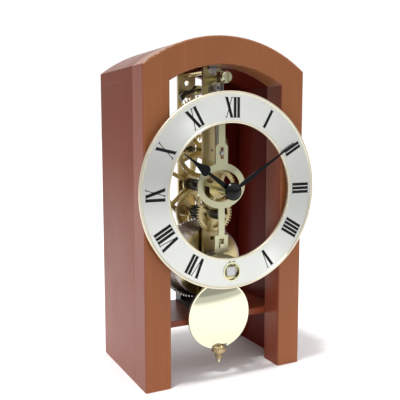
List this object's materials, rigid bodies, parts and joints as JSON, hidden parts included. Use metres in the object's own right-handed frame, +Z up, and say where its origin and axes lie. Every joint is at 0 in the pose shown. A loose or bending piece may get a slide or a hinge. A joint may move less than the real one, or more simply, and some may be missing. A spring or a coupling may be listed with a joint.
{
  "type": "mantel clock",
  "caption": "Mantel clock with an arched wooden case, an open silver dial ring, a visible brass movement and a swinging pendulum.",
  "frame": {"origin": "floor level, under the middle of the whole clock's width and depth", "axes": "+Z up, -Y is the front that the dial faces, +X is to the right as seen from the front"},
  "size_m": [0.1046, 0.0746, 0.184],
  "materials": {
    "cherry_wood": "satin lacquered reddish brown wood",
    "brass": "polished lacquered brass",
    "gold_brass": "fine-turned brass wheels and plates",
    "steel": "turned and polished steel",
    "dark_steel": "dark steel pinions and pins",
    "black_metal": "gloss black",
    "silver_dial": "satin silvered dial ring with black hour numerals",
    "bright_bob": "mirror polished"
  },
  "bodies": {
    "case": {"front_frame": "cherry_wood", "side_panel_left": "cherry_wood", "side_panel_right": "cherry_wood", "roof_panel": "cherry_wood", "back_frame": "cherry_wood", "seat_board": "cherry_wood", "chapter_ring": "silver_dial", "dial_outer_bezel": "brass", "dial_inner_bezel": "brass", "winding_grommet": "brass", "dial_feet": "brass", "front_plate": "brass", "back_plate": "gold_brass", "top_pillar": "gold_brass", "pillar_screws": "steel", "movement_base": "black_metal", "plate_screws": "steel", "base_screws": "steel", "minute_stud": "steel", "second_cock": "gold_brass", "cock_screws": "steel", "anchor_cock": "brass", "anchor_cock_screw": "steel", "suspension_post": "brass", "suspension_screw": "steel", "suspension_block": "brass", "click_spring": "steel", "click_screws": "steel"},
    "barrel": {"barrel_drum": "gold_brass", "barrel_cap": "gold_brass", "mainspring": "steel"},
    "winding": {"barrel_arbor": "steel", "ratchet_wheel": "steel"},
    "click": {"click": "steel"},
    "second": {"second_arbor": "dark_steel", "second_wheel": "gold_brass"},
    "centre": {"centre_arbor": "dark_steel", "centre_wheel": "gold_brass", "cannon_pinion": "dark_steel", "minute_hand": "black_metal", "hand_nut": "black_metal"},
    "third": {"third_arbor": "dark_steel", "third_wheel": "gold_brass"},
    "escape": {"escape_arbor": "dark_steel", "escape_wheel": "gold_brass"},
    "minute": {"minute_wheel": "brass", "minute_pinion": "dark_steel"},
    "hour": {"hour_wheel": "brass", "hour_pipe": "brass", "hour_hand": "black_metal"},
    "anchor": {"anchor": "dark_steel", "anchor_arbor": "dark_steel", "anchor_collet": "gold_brass", "crutch": "steel"},
    "pendulum": {"pendulum_rod": "brass", "suspension_spring": "steel", "bob_hanger": "brass"},
    "bob": {"bob_front": "bright_bob", "bob_back": "bright_bob"},
    "rating_nut": {"rating_nut": "brass"}
  },
  "joints": [
    {"name": "minute_hand_turn", "type": "hinge", "parent": "case", "child": "centre", "pos_m": [0, 0.0013, 0.1033], "axis": [0, 1, 0], "continuous": true},
    {"name": "second_turn", "type": "hinge", "parent": "case", "child": "second", "pos_m": [0, 0.0063, 0.0874], "axis": [0, 1, 0], "continuous": true},
    {"name": "barrel_turn", "type": "hinge", "parent": "case", "child": "barrel", "pos_m": [0, 0.0013, 0.0602], "axis": [0, 1, 0], "continuous": true},
    {"name": "third_turn", "type": "hinge", "parent": "case", "child": "third", "pos_m": [0, 0.0063, 0.1242], "axis": [0, 1, 0], "continuous": true},
    {"name": "escape_turn", "type": "hinge", "parent": "case", "child": "escape", "pos_m": [0, 0.0063, 0.142], "axis": [0, 1, 0], "continuous": true},
    {"name": "minute_wheel_turn", "type": "hinge", "parent": "case", "child": "minute", "pos_m": [0, -0.0137, 0.0893], "axis": [0, 1, 0], "continuous": true},
    {"name": "hour_hand_turn", "type": "hinge", "parent": "case", "child": "hour", "pos_m": [0, -0.0237, 0.1033], "axis": [0, 1, 0], "continuous": true},
    {"name": "winding_turn", "type": "hinge", "parent": "case", "child": "winding", "pos_m": [0, -0.0037, 0.0602], "axis": [0, 1, 0], "range_deg": [0, 2700]},
    {"name": "click_lift", "type": "hinge", "parent": "case", "child": "click", "pos_m": [-0.0036, -0.0134, 0.0475], "axis": [0, -1, 0], "range_deg": [0, 12], "stiffness_Nm_per_rad": 0.002, "springref_deg": -8.59},
    {"name": "pendulum_swing", "type": "hinge", "parent": "case", "child": "pendulum", "pos_m": [0, -0.0213, 0.1603], "axis": [0, 1, 0], "range_deg": [-3, 3]},
    {"name": "anchor_rock", "type": "hinge", "parent": "case", "child": "anchor", "pos_m": [0, 0.0013, 0.158], "axis": [0, 1, 0], "range_deg": [-3.3, 3.3]},
    {"name": "bob_slide", "type": "slide", "parent": "pendulum", "child": "bob", "axis": [0, 0, 1], "range_m": [-0.0012, 0.0012]},
    {"name": "rating_nut_turn", "type": "hinge", "parent": "bob", "child": "rating_nut", "pos_m": [0, -0.0191, 0.012], "axis": [0, 0, 1], "range_deg": [-1080, 1080]}
  ],
  "couplings": [
    {"joint": "second_turn", "follows": "minute_hand_turn", "ratio": -0.25},
    {"joint": "barrel_turn", "follows": "minute_hand_turn", "ratio": 0.038462},
    {"joint": "third_turn", "follows": "minute_hand_turn", "ratio": -12},
    {"joint": "escape_turn", "follows": "minute_hand_turn", "ratio": 144},
    {"joint": "minute_wheel_turn", "follows": "minute_hand_turn", "ratio": -0.33333},
    {"joint": "hour_hand_turn", "follows": "minute_hand_turn", "ratio": 0.083333},
    {"joint": "anchor_rock", "follows": "pendulum_swing", "ratio": 1.0657},
    {"joint": "rating_nut_turn", "follows": "bob_slide", "rad_per_m": 15707}
  ]
}
